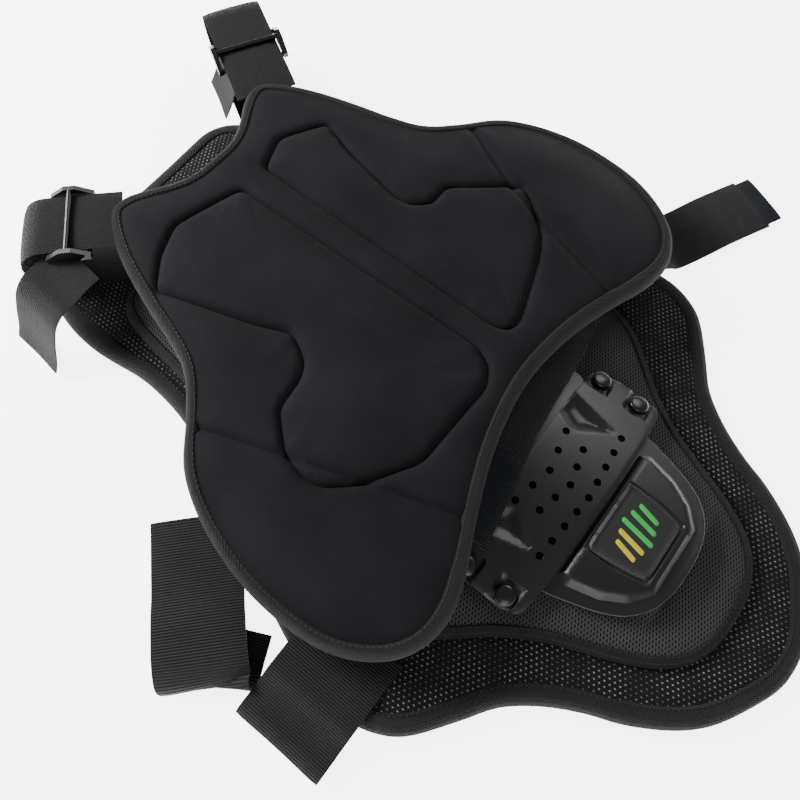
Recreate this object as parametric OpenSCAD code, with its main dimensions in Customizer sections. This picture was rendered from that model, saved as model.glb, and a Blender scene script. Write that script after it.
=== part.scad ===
// Back protector: a body-armour vest of two padded panels. The back panel lies with its hard plates
// up, and the front panel is folded over it with its padded inner face up. Webbing joins the
// shoulders and elastic belts close the waist.
// Millimetres. +Z up, the back panel's lining rests on z = 0, +Y towards the shoulders.

/* [Part] */
// Sub-part to draw, or all of them

/* [Back panel] */
// Half of the back panel's greatest width, at the waist
back_half = 186; // [170:1:196]
// Distance from the frame's origin to the tail tip
tail_reach = 287; // [270:1:310]
// Distance from the frame's origin to the neck edge
neck_reach = 264; // [250:1:266]
// Half width of the shoulders
shoulder_half = 112; // [104:1:124]
// Thickness of the foam core
pad_t = 10; // [6:0.5:12]
// Width of the ribbed edge binding
back_bind_w = 13; // [8:0.5:16]

/* [Overlay] */
// Half of the raised overlay's greatest width
overlay_half = 140; // [130:1:146]
// Thickness of the raised overlay
overlay_t = 9; // [6:0.5:10]
// Width of the overlay's edge tape
overlay_bind_w = 7; // [5:0.5:9]

/* [Plates] */
// Radius of the plates' arch across the back
plate_r = 300; // [260:5:400]
// Wall of the moulded plates
plate_t = 3; // [2:0.1:3.2]
// Height of the upper row of plates at the crown
plate_top = 42; // [41.5:0.1:42.5]
// Drop from the upper row of plates to the row tucked under it
tuck = 5; // [4.8:0.1:5.4]
// Half width of the lumbar plate
lumbar_half = 83; // [76:1:88]
// Length of the lumbar plate along the spine
lumbar_len = 54; // [50:1:58]
// Half width of the tail plate
tail_half = 60; // [56:1:64]
// Radius of the vent holes
vent_r = 2.5; // [1.5:0.1:3]
// Radius of a rivet's head
rivet_head_r = 6.5; // [5:0.1:7.5]
// Radius of a rivet's shank
rivet_shank_r = 2.5; // [2:0.1:3]

/* [Front panel] */
// Half of the front panel's greatest width, across the side lobes
front_half = 197; // [184:1:202]
// Half width of the front panel's waist
waist_half = 118; // [108:1:124]
// Half width of the front panel's neck edge
front_neck_half = 72; // [64:1:78]
// Sideways offset of the folded front panel
front_shift = 32; // [0:1:34]
// Turn of the folded front panel, clockwise from above
front_turn = 1.5; // [0:0.5:2]
// Slope at which the side lobes lie out of square, as rise over run
front_skew = 0.1; // [0:0.01:0.12]
// Radius of the front panel's arch
front_r = 855; // [700:5:1200]
// Height of the front panel's inner face at the crown
front_top = 66; // [65:0.5:68]
// Thickness of the front panel's foam
front_pad_t = 10.8; // [8:0.1:10.8]
// Width of the front panel's edge binding
front_bind_w = 9; // [6:0.5:11]

/* [Straps] */
// Width of the shoulder webbing
web_w = 45; // [38:1:48]
// Thickness of the shoulder webbing
web_t = 2; // [1.4:0.1:2.2]
// Reach of the left shoulder loop from the front panel
left_loop = 84; // [82:1:95]
// Reach of the right shoulder loop from the front panel
right_loop = 116; // [108:1:118]
// Width of the ribbed waist elastic
belt_w = 62; // [50:1:64]
// Thickness of the ribbed waist elastic
belt_t = 2.4; // [1.6:0.1:2.6]
// Width of the brushed closing strap on the right
tab_w = 46; // [38:1:50]

/* [Hidden] */

// Smallest gap between touching layers
gap = 0.1;
lining_t = 2;
cover_t = 3;
pad_top = lining_t + gap + pad_t;
cover_top = pad_top + gap + cover_t;
overlay_z = cover_top + gap;
overlay_top = overlay_z + overlay_t;

// The tail bends about this line, under the lumbar plate's lower edge
bend_y = -138;
bend_z = 25;
lumbar_low = -142;

round_fn = 120;

black = [0.07, 0.07, 0.08];
dark = [0.13, 0.14, 0.15];
grey = [0.22, 0.23, 0.25];
gloss = [0.04, 0.04, 0.05];

// One point of a smooth curve between b and c
function curve_pt(a, b, c, d, t) =
  0.5 * (2 * b + (c - a) * t + (2 * a - 5 * b + 4 * c - d) * t * t + (3 * b - a - 3 * c + d) * t * t * t);

// Closed smooth loop through the points p, with n steps between each two
function smooth_loop(p, n) =
  [for (i = [0 : len(p) - 1]) for (k = [0 : n - 1])
    curve_pt(p[(i + len(p) - 1) % len(p)], p[i], p[(i + 1) % len(p)], p[(i + 2) % len(p)], k / n)];

// Open smooth curve through the points p
function smooth_path(p, n) =
  concat([for (i = [0 : len(p) - 2]) for (k = [0 : n - 1])
    curve_pt(p[max(i - 1, 0)], p[i], p[i + 1], p[min(i + 2, len(p) - 1)], k / n)], [p[len(p) - 1]]);

// Full outline from its right half, given from the top centre to the bottom centre
function both_sides(h) = concat(h, [for (i = [len(h) - 2 : -1 : 1]) [-h[i][0], h[i][1]]]);

// Outline moved inwards by d
function inset(p, d) =
  [for (i = [0 : len(p) - 1])
    let (a = p[(i + len(p) - 1) % len(p)], b = p[(i + 1) % len(p)], t = (b - a) / norm(b - a))
    p[i] + d * [t[1], -t[0]]];

// Closed band of thickness t about the open path c
function band_side(c, t, s) =
  [for (i = [0 : len(c) - 1])
    let (a = c[max(i - 1, 0)], b = c[min(i + 1, len(c) - 1)], u = (b - a) / norm(b - a))
    c[i] + s * t / 2 * [u[1], -u[0]]];
function reversed(p) = [for (i = [len(p) - 1 : -1 : 0]) p[i]];
function band(c, t) = concat(band_side(c, t, 1), reversed(band_side(c, t, -1)));

back_half_outline = [
  [0, neck_reach - 2],
  [30, neck_reach],
  [54, neck_reach + 3],
  [78, neck_reach + 4],
  [98, neck_reach - 8],
  [shoulder_half - 3, neck_reach - 34],
  [shoulder_half, 195],
  [shoulder_half - 5, 150],
  [shoulder_half + 1, 105],
  [0.7 * back_half, 62],
  [0.82 * back_half, 15],
  [0.93 * back_half, -35],
  [0.99 * back_half, -72],
  [back_half, -94],
  [back_half - 5, -113],
  [back_half - 16, -129],
  [back_half - 40, -147],
  [back_half - 60, -161],
  [0.59 * back_half, -181],
  [0.525 * back_half, -203],
  [0.48 * back_half, -223],
  [0.4 * back_half, -247],
  [0.31 * back_half, -264],
  [0.19 * back_half, -277],
  [0.09 * back_half, -tail_reach + 2],
  [0, -tail_reach],
];

overlay_half_outline = [
  [0, 200],
  [34, 204],
  [62, 206],
  [80, 194],
  [87, 168],
  [0.66 * overlay_half, 125],
  [0.76 * overlay_half, 75],
  [0.9 * overlay_half, 20],
  [0.98 * overlay_half, -25],
  [overlay_half, -62],
  [0.94 * overlay_half, -92],
  [0.83 * overlay_half, -113],
  [0.7 * overlay_half, -134],
  [0.59 * overlay_half, -158],
  [0.52 * overlay_half, -180],
  [0.45 * overlay_half, -203],
  [0.36 * overlay_half, -224],
  [0.25 * overlay_half, -237],
  [0.12 * overlay_half, -243],
  [0, -244],
];

front_half_outline = [
  [0, 205],
  [18, 206],
  [34, 213],
  [48, 223],
  [front_neck_half - 10, 230],
  [front_neck_half + 3, 228],
  [front_neck_half + 15, 213],
  [waist_half - 20, 190],
  [waist_half - 10, 160],
  [waist_half - 3, 135],
  [waist_half + 7, 111],
  [waist_half + 28, 91],
  [0.86 * front_half, 73],
  [0.94 * front_half, 47],
  [0.99 * front_half, 14],
  [front_half, -18],
  [0.98 * front_half, -48],
  [0.92 * front_half, -73],
  [0.83 * front_half, -91],
  [0.71 * front_half, -99],
  [0.58 * front_half, -95],
  [0.43 * front_half, -83],
  [0.23 * front_half, -70],
  [0, -64],
];

back_outline = smooth_loop(both_sides(back_half_outline), 4);
overlay_outline = smooth_loop(both_sides(overlay_half_outline), 4);

// The folded panel's side lobes lie out of square, more and more towards its lower edge
function skewed(p) =
  [for (q = p) [q[0], q[1] + front_skew * q[0] * min(max((150 - q[1]) / 170, 0), 1)]];

front_outline = skewed(smooth_loop(both_sides(front_half_outline), 4));

// Plates along the spine: lower edge, upper edge, half width, crown height
lumbar_high = lumbar_low + lumbar_len;
low_top = plate_top - tuck;
lower_span = [lumbar_high - 5, -12];
middle_span = [-16, 70];
upper_span = [65, 146];
neck_span = [141, 192];

// Keeps what lies above the bend line
module main_side() {
  intersection() {
    children();
    translate([-300, bend_y + 0.2, -5])
      cube([600, 500, 120]);
  }
}

// Keeps what lies below the bend line
module tail_side() {
  intersection() {
    children();
    translate([-300, -500, -5])
      cube([600, 500 + bend_y - 0.2, 120]);
  }
}

module slab(outline, z0, z1) {
  translate([0, 0, z0])
    linear_extrude(height = z1 - z0)
      polygon(outline);
}

module ring(outer, inner, z0, z1) {
  difference() {
    slab(outer, z0, z1);
    slab(inner, z0 - 1, z1 + 1);
  }
}

// Arched wall along Y: outer radius r, crown at height top, wall t
module arch_wall(r, top, t) {
  translate([0, 0, top - r])
    rotate([90, 0, 0])
      difference() {
        cylinder(h = 700, r = r, center = true, $fn = round_fn);
        cylinder(h = 702, r = r - t, center = true, $fn = round_fn);
      }
}

module arched(outline, r, top, t) {
  intersection() {
    translate([0, 0, 5])
      linear_extrude(height = 100)
        polygon(outline);
    arch_wall(r, top, t);
  }
}

// Places children on the arch at x and y, square to it
module on_arch(r, top, x, y) {
  translate([0, y, top - r])
    rotate([0, asin(x / r), 0])
      translate([0, 0, r])
        children();
}

// Plate outline: width w1 at the lower edge, w2 at the upper edge, corners cut back by c
function plate_outline(y1, y2, w1, w2, c) =
  smooth_loop(both_sides([
    [0, y2], [w2 * 0.55, y2], [w2 - c, y2 - 0.1 * c], [w2 - 0.25 * c, y2 - 0.3 * c], [w2, y2 - c],
    [(w1 + w2) / 2, (y1 + y2) / 2],
    [w1, y1 + c], [w1 - 0.25 * c, y1 + 0.3 * c], [w1 - c, y1 + 0.1 * c], [w1 * 0.55, y1], [0, y1]]), 4);

module rivet() {
  translate([0, 0, 0.2])
    cylinder(h = 1.4, r = rivet_head_r, $fn = 64);
  translate([0, 0, 1.6])
    cylinder(h = 1, r1 = rivet_head_r, r2 = rivet_head_r - 2.5, $fn = 64);
  translate([0, 0, -12])
    cylinder(h = 12.4, r = rivet_shank_r, $fn = 48);
}

module rivet_bore() {
  translate([0, 0, -16])
    cylinder(h = 24, r = rivet_shank_r + 0.05, $fn = 48);
}

// Rivet positions: [x, y, crown height]
lumbar_rivets = [[76, lumbar_high - 10, plate_top], [76, lumbar_low + 16, plate_top]];
lower_rivets = [[62, lower_span[0] + 18, low_top], [62, lower_span[1] - 14, low_top]];
middle_rivets = [[77, middle_span[0] + 14, plate_top], [76, middle_span[1] - 12, plate_top]];
upper_rivets = [[61, upper_span[0] + 18, low_top], [58, upper_span[1] - 16, low_top]];
neck_rivets = [[50, neck_span[0] + 14, plate_top], [44, neck_span[1] - 12, plate_top]];
body_rivets = concat(lumbar_rivets, lower_rivets, middle_rivets, upper_rivets, neck_rivets);

module at_rivets(spots) {
  for (s = spots)
    for (side = [-1, 1])
      on_arch(plate_r, s[2], side * s[0], s[1])
        children();
}

// Vent holes of one plate: rows that bow towards the lower edge
module vents(y, half, count, bow) {
  for (i = [0 : count - 1])
    let (x = -half + 2 * half * i / (count - 1))
      translate([x, y + bow * abs(x) / half, 0])
        cylinder(h = 80, r = vent_r, $fn = 32);
}

// Raised facet on a plate, 1.2 above its face
module facet(points, top) {
  arched(points, plate_r + 1.2, top + 1.2, 2);
}

module plate(outline, top, spots) {
  difference() {
    arched(outline, plate_r, top, plate_t);
    at_rivets(spots)
      rivet_bore();
  }
}

module back_lining() {
  color(dark)
    main_side()
      slab(inset(back_outline, 3), 0, lining_t);
}

module back_pad() {
  color(dark)
    main_side()
      slab(inset(back_outline, back_bind_w + 0.2), lining_t + gap, pad_top);
}

module back_cover() {
  color(black)
    main_side()
      slab(inset(back_outline, back_bind_w + 0.2), pad_top + gap, cover_top);
}

module back_binding_ring() {
  ring(back_outline, inset(back_outline, back_bind_w), lining_t + gap, cover_top + 0.4);
  ring(back_outline, inset(back_outline, 2.8), 0.4, lining_t + 0.2);
}

module back_binding() {
  color(black)
    main_side()
      back_binding_ring();
}

module overlay_body() {
  difference() {
    slab(inset(overlay_outline, overlay_bind_w + 0.2), overlay_z, overlay_top);
    at_rivets(body_rivets)
      rivet_bore();
  }
}

module back_overlay() {
  color(grey)
    main_side()
      overlay_body();
}

module overlay_tape() {
  color(black)
    main_side()
      ring(overlay_outline, inset(overlay_outline, overlay_bind_w), overlay_z, overlay_top - 3);
}

module neck_plate() {
  color(gloss)
    difference() {
      plate(plate_outline(neck_span[0], neck_span[1], 62, 52, 14), plate_top, neck_rivets);
      vents(neck_span[0] + 24, 30, 7, 5);
    }
}

module upper_plate() {
  color(gloss)
    difference() {
      plate(plate_outline(upper_span[0], upper_span[1], 73, 68, 16), low_top, upper_rivets);
      vents(upper_span[0] + 30, 42, 9, 6);
      vents(upper_span[0] + 48, 36, 7, 6);
    }
}

module middle_plate() {
  color(gloss)
    difference() {
      plate(plate_outline(middle_span[0], middle_span[1], 86, 84, 16), plate_top, middle_rivets);
      vents(middle_span[0] + 30, 52, 11, 8);
      vents(middle_span[0] + 48, 46, 9, 8);
    }
}

module lower_plate() {
  color(gloss)
    difference() {
      plate(plate_outline(lower_span[0], lower_span[1], 73, 73, 14), low_top, lower_rivets);
      vents(lower_span[0] + 28, 46, 9, 6);
      vents(lower_span[0] + 44, 40, 7, 6);
    }
}

module lumbar_plate() {
  color(gloss)
    difference() {
      union() {
        plate(plate_outline(lumbar_low, lumbar_high, lumbar_half, lumbar_half, 13), plate_top, lumbar_rivets);
        facet([[34, lumbar_low + 26], [58, lumbar_low + 18], [58, lumbar_low + 36], [46, lumbar_low + 44]],
          plate_top);
        facet([[-34, lumbar_low + 26], [-46, lumbar_low + 44], [-58, lumbar_low + 36], [-58, lumbar_low + 18]],
          plate_top);
      }
      vents(lumbar_low + 9, 46, 9, 4);
      vents(lumbar_low + 22, 24, 5, 6);
      vents(lumbar_low + 37, 28, 5, 6);
    }
}

module plate_rivets() {
  color(gloss)
    at_rivets(body_rivets)
      rivet();
}

module tail_lining() {
  color(dark)
    tail_side()
      slab(inset(back_outline, 3), 0, lining_t);
}

module tail_pad() {
  color(dark)
    tail_side()
      slab(inset(back_outline, back_bind_w + 0.2), lining_t + gap, pad_top);
}

module tail_cover() {
  color(black)
    tail_side()
      slab(inset(back_outline, back_bind_w + 0.2), pad_top + gap, cover_top);
}

module tail_binding() {
  color(black)
    tail_side()
      back_binding_ring();
}

module tail_overlay() {
  color(grey)
    tail_side()
      overlay_body();
}

module tail_tape() {
  color(black)
    tail_side()
      ring(overlay_outline, inset(overlay_outline, overlay_bind_w), overlay_z, overlay_top - 3);
}

// Tail plate: an arched flange with a raised plateau that carries the badge
tail_plate_low = -203;
module tail_plate() {
  color(gloss)
    difference() {
      union() {
        arched(smooth_loop(both_sides([
          [0, bend_y - 0.4], [tail_half * 0.6, bend_y - 0.4], [tail_half - 2, bend_y - 1],
          [tail_half, bend_y - 6], [tail_half - 4, -159], [tail_half - 10, -176], [tail_half - 18, -189],
          [tail_half - 31, -198.5], [tail_half - 46, tail_plate_low + 0.6], [0, tail_plate_low]]), 4),
          plate_r, low_top, plate_t);
        intersection() {
          slab(smooth_loop(both_sides([
            [0, -144.5], [40, -144.5], [46, -146], [48, -151], [43, -170], [35, -184], [24, -192.5],
            [0, -195]]), 4),
            low_top - 6, low_top + 2);
          arch_wall(plate_r + 10, low_top + 2, 8);
        }
      }
      translate([0, 0, low_top + 0.9])
        linear_extrude(height = 5)
          polygon(badge_outline(0.1));
    }
}

function badge_outline(g) =
  smooth_loop(both_sides([
    [0, -147.5 + g], [17, -147.5 + g], [23.5 + g, -149 + g], [25 + g, -153.5], [23.5 + g, -170],
    [21 + g, -183], [18, -186.5 - g], [0, -187 - g]]), 4);

module tail_badge() {
  color([0.1, 0.1, 0.11])
    translate([0, 0, low_top + 1])
      linear_extrude(height = 2)
        polygon(badge_outline(0));
}

// Layers of the folded front panel, counted down from its inner face
front_lining_t = 3;
front_cover_t = 1.5;
front_bind_t = front_lining_t + front_pad_t + front_cover_t + 2 * gap + 0.3;
front_pad_top = front_top - front_lining_t - gap;
front_cover_top = front_pad_top - front_pad_t - gap;
chest_top = front_cover_top - front_cover_t - gap;

// Every layer of the front panel bends about one axis
function front_layer_r(top) = front_r - front_top + top;

module front_place() {
  translate([front_shift, 80, 0])
    rotate([0, 0, -front_turn])
      translate([0, -80, 0])
        children();
}

module front_lining() {
  color(dark)
    front_place()
      arched(inset(front_outline, front_bind_w + 0.2), front_r, front_top, front_lining_t);
}

module front_pad() {
  color(grey)
    front_place()
      arched(inset(front_outline, front_bind_w + 0.2), front_layer_r(front_pad_top), front_pad_top, front_pad_t);
}

module front_cover() {
  color(black)
    front_place()
      arched(inset(front_outline, front_bind_w + 0.2), front_layer_r(front_cover_top), front_cover_top, front_cover_t);
}

module front_binding() {
  color(black)
    front_place()
      difference() {
        arched(front_outline, front_layer_r(front_top + 0.3), front_top + 0.3, front_bind_t);
        slab(inset(front_outline, front_bind_w), 0, 120);
      }
}

// Chest plate on the right side of the front panel's outer face
chest_outline = smooth_loop([
  [12, 150], [40, 160], [72, 158], [92, 140], [98, 112], [112, 84], [140, 60], [158, 32], [164, -4],
  [156, -40], [138, -64], [112, -70], [78, -58], [40, -46], [12, -40], [8, 20], [8, 90]], 4);
chest_rivet_spots = [[60, 140], [148, 30], [140, -45], [24, -28], [24, 130]];

module chest_half() {
  difference() {
    arched(chest_outline, front_layer_r(chest_top), chest_top, 3);
    for (s = chest_rivet_spots)
      on_arch(front_layer_r(chest_top), chest_top, s[0], s[1])
        translate([0, 0, -8])
          cylinder(h = 12, r = rivet_shank_r + 0.05, $fn = 48);
    for (row = [0 : 3])
      for (i = [0 : 4 + row])
        translate([34 + 11 * i, 100 - 30 * row + 3 * i, 0])
          cylinder(h = 80, r = vent_r, $fn = 32);
  }
}

module chest_plate_right() {
  color(gloss)
    front_place()
      chest_half();
}

module chest_plate_left() {
  color(gloss)
    front_place()
      mirror([1, 0, 0])
        chest_half();
}

module chest_rivets() {
  color(gloss)
    front_place()
      for (side = [0, 1])
        mirror([side, 0, 0])
          for (s = chest_rivet_spots)
            on_arch(front_layer_r(chest_top), chest_top, s[0], s[1]) {
              translate([0, 0, -4.3])
                cylinder(h = 1.2, r = 5, $fn = 64);
              translate([0, 0, -3.2])
                cylinder(h = 3.1, r = rivet_shank_r, $fn = 48);
            }
}

// Belt of the front panel, folded in between the panels over the lumbar plates
notch_belt_r = 420;
notch_belt_top = 45.6;
module front_belt() {
  color(black)
    intersection() {
      slab([[-64, -102], [-58, -44], [20, -28], [100, -22], [117, -50], [118, -69], [110, -73], [83, -79],
        [42, -83], [7, -87], [-16, -93], [-46, -99]], 20, 70);
      arch_wall(notch_belt_r, notch_belt_top, belt_t);
    }
}

module front_belt_hook() {
  color(dark)
    intersection() {
      slab([[-61, -100], [-57.5, -71], [-12, -54], [-8, -84.5], [-16, -91.5], [-46, -97.5]], 20, 70);
      arch_wall(notch_belt_r + 0.9, notch_belt_top + 0.9, 0.8);
    }
}

// Band whose path lies in the X-Z plane, w wide along Y
module strap(path, t, w) {
  rotate([90, 0, 0])
    linear_extrude(height = w, center = true)
      polygon(band(smooth_path(path, 5), t));
}

// Shoulder webbing leaves the front panel's neck corners and loops back to the shoulders below
web_top = 57.5;
web_low = cover_top + web_t / 2 + 0.6;
loop_r = (web_top - web_low) / 2;
left_turn = 135;
right_turn = 60;
left_anchor = [front_shift - front_neck_half + 11.5, 215.6, 0];
right_anchor = [front_shift + front_neck_half - 0.5, 212.2, 0];

module web_front(start, reach) {
  strap(concat(
    [[start, web_top - 0.4], [start + 12, web_top], [reach - loop_r - 8, web_top], [reach - loop_r, web_top]],
    [for (a = [75 : -15 : 0]) [reach - loop_r + loop_r * cos(a), (web_top + web_low) / 2 + loop_r * sin(a)]]),
    web_t, web_w);
}

module web_back(start, reach) {
  strap(concat(
    [for (a = [-1 : -15 : -76]) [reach - loop_r + loop_r * cos(a), (web_top + web_low) / 2 + loop_r * sin(a)]],
    [[reach - loop_r, web_low], [reach - loop_r - 12, web_low], [start + 12, web_low], [start, web_low]]),
    web_t, web_w);
}

module left_web_place() {
  translate(left_anchor)
    rotate([0, 0, left_turn])
      children();
}

module right_web_place() {
  translate(right_anchor)
    rotate([0, 0, right_turn])
      children();
}

module shoulder_web_left_front() {
  color(black)
    left_web_place()
      web_front(20, left_loop);
}

module shoulder_web_right_front() {
  color(black)
    right_web_place()
      web_front(19, right_loop);
}

module shoulder_web_left_back() {
  color(black)
    left_web_place()
      web_back(14, left_loop);
}

module shoulder_web_right_back() {
  color(black)
    right_web_place()
      web_back(4, right_loop);
}

// Bowed three-bar adjuster: the webbing runs over the outer bars and under the middle one
glide_bar_r = 1.8;
glide_half = 13;
glide_arm = web_w / 2 + 3.2;
module tri_glide() {
  bar_low = -web_t / 2 - glide_bar_r - 0.3;
  bar_high = web_t / 2 + glide_bar_r + 0.3;
  for (x = [-glide_half, glide_half])
    translate([x, 0, bar_low])
      rotate([90, 0, 0])
        cylinder(h = 2 * glide_arm, r = glide_bar_r, center = true, $fn = 48);
  translate([0, 0, bar_high])
    rotate([90, 0, 0])
      cylinder(h = 2 * glide_arm, r = glide_bar_r, center = true, $fn = 48);
  for (side = [-1, 1])
    translate([0, side * glide_arm, 0])
      rotate([90, 0, 0])
        linear_extrude(height = 3.4, center = true)
          polygon([[-glide_half - 1.8, bar_low - 1.8], [glide_half + 1.8, bar_low - 1.8],
            [glide_half + 1.8, bar_low + 1.6], [4, bar_high + 1.8], [-4, bar_high + 1.8],
            [-glide_half - 1.8, bar_low + 1.6]]);
}

module tri_glide_left() {
  color(gloss)
    left_web_place()
      translate([46, 0, web_top])
        tri_glide();
}

module tri_glide_right() {
  color(gloss)
    right_web_place()
      translate([58, 0, web_top])
        tri_glide();
}

// Free ends of the webbing
module web_tail_left() {
  color(black)
    translate([-100, 226, 0])
      rotate([0, 0, 175])
        strap([[0, 50], [8, 49], [18, 42], [26, 29], [33, 14], [39, 4]], web_t, web_w - 1);
}

module web_tail_right() {
  color(black)
    translate([132.5, 262, 0])
      rotate([0, 0, 150])
        strap([[0, 49], [9, 48], [19, 41], [26, 29], [33, 18]], web_t, web_w - 3);
}

// Waist belts sewn to the back panel's sides
belt_z = cover_top + belt_t / 2 + 0.6;
right_turn_belt = -25;
right_root = [150, -44, 0];
module right_belt() {
  color(black)
    translate(right_root)
      rotate([0, 0, right_turn_belt])
        strap([[0, belt_z], [22, belt_z], [48, belt_z + 0.4], [60, 12], [68, 5.5], [77, 3]], belt_t, tab_w);
}

module right_tab() {
  color(grey)
    translate(right_root)
      rotate([0, 0, right_turn_belt])
        strap([[79, 2.8], [95, 3.4], [118, 5], [140, 4], [156, 2.6]], 2.2, tab_w);
}

module right_tab_hook() {
  color(black)
    translate(right_root)
      rotate([0, 0, right_turn_belt])
        strap([[157.4, 2.4], [163, 2.3], [169, 2.2]], 2, tab_w - 4);
}

left_belt_y = -72;
module left_belt() {
  color(black)
    translate([0, left_belt_y, 0])
      strap([[-143, belt_z], [-155, belt_z], [-176, belt_z], [-190, belt_z - 0.4], [-197, 13.5]],
        belt_t, belt_w);
}

module left_tab() {
  color(black)
    translate([0, left_belt_y, 0])
      strap([[-199.6, 12.4], [-207, 10.2], [-216, 10], [-222, 7], [-219, 3.4], [-210, 2.6], [-198, 2.4]],
        belt_t, belt_w);
}

module left_tab_hook() {
  color(dark)
    translate([-205, left_belt_y, 5])
      cube([11, belt_w - 6, 1.3], center = true);
}

loop_turn = 226;
loop_root = [-150, 58, 0];
module left_loop_root() {
  color(black)
    translate(loop_root)
      rotate([0, 0, loop_turn])
        strap([[10, belt_z], [25, belt_z], [40, belt_z], [50, belt_z]], belt_t, belt_w - 6);
}

module left_loop_belt() {
  color(black)
    translate(loop_root)
      rotate([0, 0, loop_turn])
        strap([[52, belt_z], [62, belt_z + 1], [78, 19], [92, 18], [102, 13.5], [105, 8], [100, 3.4],
          [88, 2.4], [72, 2.2]], belt_t, belt_w - 6);
}

back_lining();
back_pad();
back_cover();
back_binding();
back_overlay();
overlay_tape();
neck_plate();
upper_plate();
middle_plate();
lower_plate();
lumbar_plate();
plate_rivets();
tail_lining();
tail_pad();
tail_cover();
tail_binding();
tail_overlay();
tail_tape();
tail_plate();
tail_badge();
front_cover();
front_pad();
front_lining();
front_binding();
chest_plate_left();
chest_plate_right();
chest_rivets();
front_belt();
front_belt_hook();
shoulder_web_left_back();
shoulder_web_right_back();
shoulder_web_left_front();
shoulder_web_right_front();
web_tail_left();
web_tail_right();
tri_glide_left();
tri_glide_right();
right_belt();
right_tab();
right_tab_hook();
left_belt();
left_tab();
left_tab_hook();
left_loop_root();
left_loop_belt();
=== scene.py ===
"""Looks of the back protector: a plated back panel with a padded front panel folded over it."""

import math

import bpy
import numpy as np
from mathutils import Matrix, Vector, geometry, kdtree


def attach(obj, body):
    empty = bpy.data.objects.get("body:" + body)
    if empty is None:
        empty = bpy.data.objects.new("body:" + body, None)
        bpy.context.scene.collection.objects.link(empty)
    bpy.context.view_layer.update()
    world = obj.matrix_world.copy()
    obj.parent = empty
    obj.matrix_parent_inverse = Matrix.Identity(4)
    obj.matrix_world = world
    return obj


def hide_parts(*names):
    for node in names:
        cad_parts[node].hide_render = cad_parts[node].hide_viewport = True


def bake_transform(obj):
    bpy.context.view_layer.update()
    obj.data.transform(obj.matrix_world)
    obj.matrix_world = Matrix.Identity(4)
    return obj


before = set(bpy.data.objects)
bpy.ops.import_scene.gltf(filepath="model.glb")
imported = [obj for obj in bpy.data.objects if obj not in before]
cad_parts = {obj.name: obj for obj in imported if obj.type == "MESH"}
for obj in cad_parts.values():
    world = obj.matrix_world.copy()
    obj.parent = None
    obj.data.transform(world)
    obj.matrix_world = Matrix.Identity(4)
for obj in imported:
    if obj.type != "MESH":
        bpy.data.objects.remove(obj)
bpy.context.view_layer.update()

MM = 0.001

# The CAD's own arches and places, in metres, with its turn in radians and its skew as a ratio
PLATE_R = 0.300
PLATE_TOP = 0.042
LOW_TOP = 0.037
FRONT_R = 0.855
FRONT_TOP = 0.066
FRONT_AT = (0.032, 0.080)
FRONT_TURN = math.radians(-1.5)
FRONT_SKEW = 0.1
COVER_TOP = 0.0152
OVERLAY_TOP = 0.0243
BEND_Y = -0.138

# Sizes that several pieces share, in metres
TAPE_STATION = 0.004
FRONT_TAPE_TOP = FRONT_TOP + 0.0003
BACK_TAPE_TOP = COVER_TOP + 0.0004
OVERLAY_BASE = COVER_TOP + 0.0002
STITCH_PITCH = 0.0034
STITCH_HALF = 0.0012
STITCH_R = 0.00032
STRAP_THICK = 0.0022
WEB_THICK = 0.0019
ELASTIC_THICK = 0.0023

UPRIGHT = (0.0, 0.0, 1.0)
CLOTH_FRAMES = 20
OUTLINE_RAYS = 1080


# -------- shader fields


class Field:
    """A number that varies over a surface, made of math nodes."""

    def __init__(self, tree, socket):
        self.tree = tree
        self.socket = socket

    def math(self, operation, *others):
        node = self.tree.nodes.new("ShaderNodeMath")
        node.operation = operation
        for socket, value in zip(node.inputs, (self, *others)):
            if isinstance(value, Field):
                self.tree.links.new(value.socket, socket)
            else:
                socket.default_value = value
        return Field(self.tree, node.outputs[0])

    def __add__(self, other):
        return self.math("ADD", other)

    def __sub__(self, other):
        return self.math("SUBTRACT", other)

    def __mul__(self, other):
        return self.math("MULTIPLY", other)

    def fract(self):
        return self.math("FRACT")

    def floor(self):
        return self.math("FLOOR")

    def absolute(self):
        return self.math("ABSOLUTE")

    def wave(self, period, shift=0.0):
        """Smooth ribs between 0 and 1."""
        return (self * (2 * math.pi / period) + shift).math("SINE") * 0.5 + 0.5

    def step(self, low, high):
        """Smooth step from 0 at low to 1 at high, which may be the smaller of the two."""
        node = self.tree.nodes.new("ShaderNodeMapRange")
        node.interpolation_type = "SMOOTHSTEP"
        node.inputs["From Min"].default_value = low
        node.inputs["From Max"].default_value = high
        self.tree.links.new(self.socket, node.inputs["Value"])
        return Field(self.tree, node.outputs["Result"])


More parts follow.
